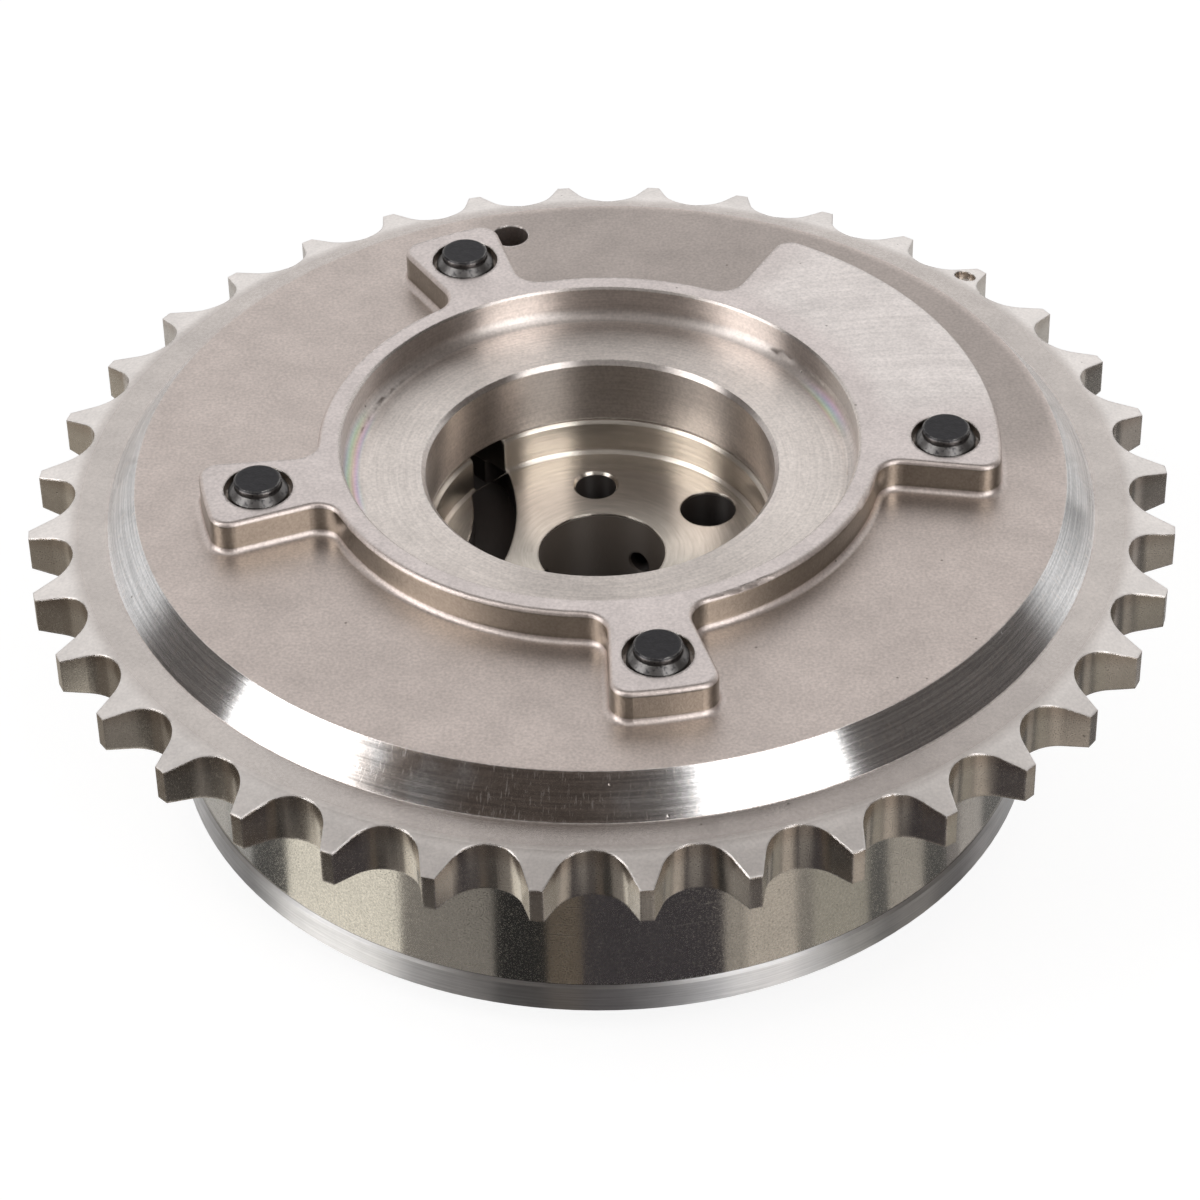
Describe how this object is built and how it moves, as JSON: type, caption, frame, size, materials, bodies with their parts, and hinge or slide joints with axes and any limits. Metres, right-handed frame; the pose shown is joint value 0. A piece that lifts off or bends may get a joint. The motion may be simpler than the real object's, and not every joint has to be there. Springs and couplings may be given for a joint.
{
  "type": "cam phaser",
  "caption": "Vane-type cam phaser: a toothed chain sprocket plate with a raised spider, bolted to a round housing that holds a vaned rotor with a lock pin.",
  "frame": {"origin": "on the rotation axis, at the level of the four bolt heads' lower faces, on which the part stands", "axes": "+Z along the rotation axis towards the camshaft, +X through housing bolt 1"},
  "size_m": [0.1138, 0.1138, 0.0414],
  "materials": {
    "powder_steel": "satin, fine blasted grain",
    "cover_steel": "turned satin",
    "rotor_steel": "machined satin",
    "hardened_steel": "ground",
    "plain_steel": "plain",
    "spring_steel": "drawn",
    "black_oxide_steel": "black oxide",
    "seal_polymer": "moulded"
  },
  "bodies": {
    "stator": {"sprocket_plate": "powder_steel", "housing": "powder_steel", "front_cover": "cover_steel", "lock_bush": "hardened_steel", "housing_bolt_1": "black_oxide_steel", "housing_bolt_2": "black_oxide_steel", "housing_bolt_3": "black_oxide_steel", "housing_bolt_4": "black_oxide_steel", "lobe_seal_1": "seal_polymer", "lobe_seal_2": "seal_polymer", "lobe_seal_3": "seal_polymer", "lobe_seal_4": "seal_polymer", "lobe_seal_spring_1": "spring_steel", "lobe_seal_spring_2": "spring_steel", "lobe_seal_spring_3": "spring_steel", "lobe_seal_spring_4": "spring_steel"},
    "rotor": {"rotor": "rotor_steel", "lock_pin_retainer": "plain_steel", "lock_pin_spring": "spring_steel", "vane_seal_1": "seal_polymer", "vane_seal_2": "seal_polymer", "vane_seal_3": "seal_polymer", "vane_seal_4": "seal_polymer", "vane_seal_spring_1": "spring_steel", "vane_seal_spring_2": "spring_steel", "vane_seal_spring_3": "spring_steel", "vane_seal_spring_4": "spring_steel"},
    "lock_pin": {"lock_pin": "hardened_steel"}
  },
  "joints": [
    {"name": "rotor_phase", "type": "hinge", "parent": "stator", "child": "rotor", "pos_m": [0, 0, 0], "axis": [0, 0, 1], "range_deg": [0, 25]},
    {"name": "lock_pin_slide", "type": "slide", "parent": "rotor", "child": "lock_pin", "axis": [0, 0, -1], "range_m": [0, 0.0025], "stiffness_N_per_m": 1500, "springref_m": -0.003, "deforming": ["lock_pin_spring"]}
  ]
}
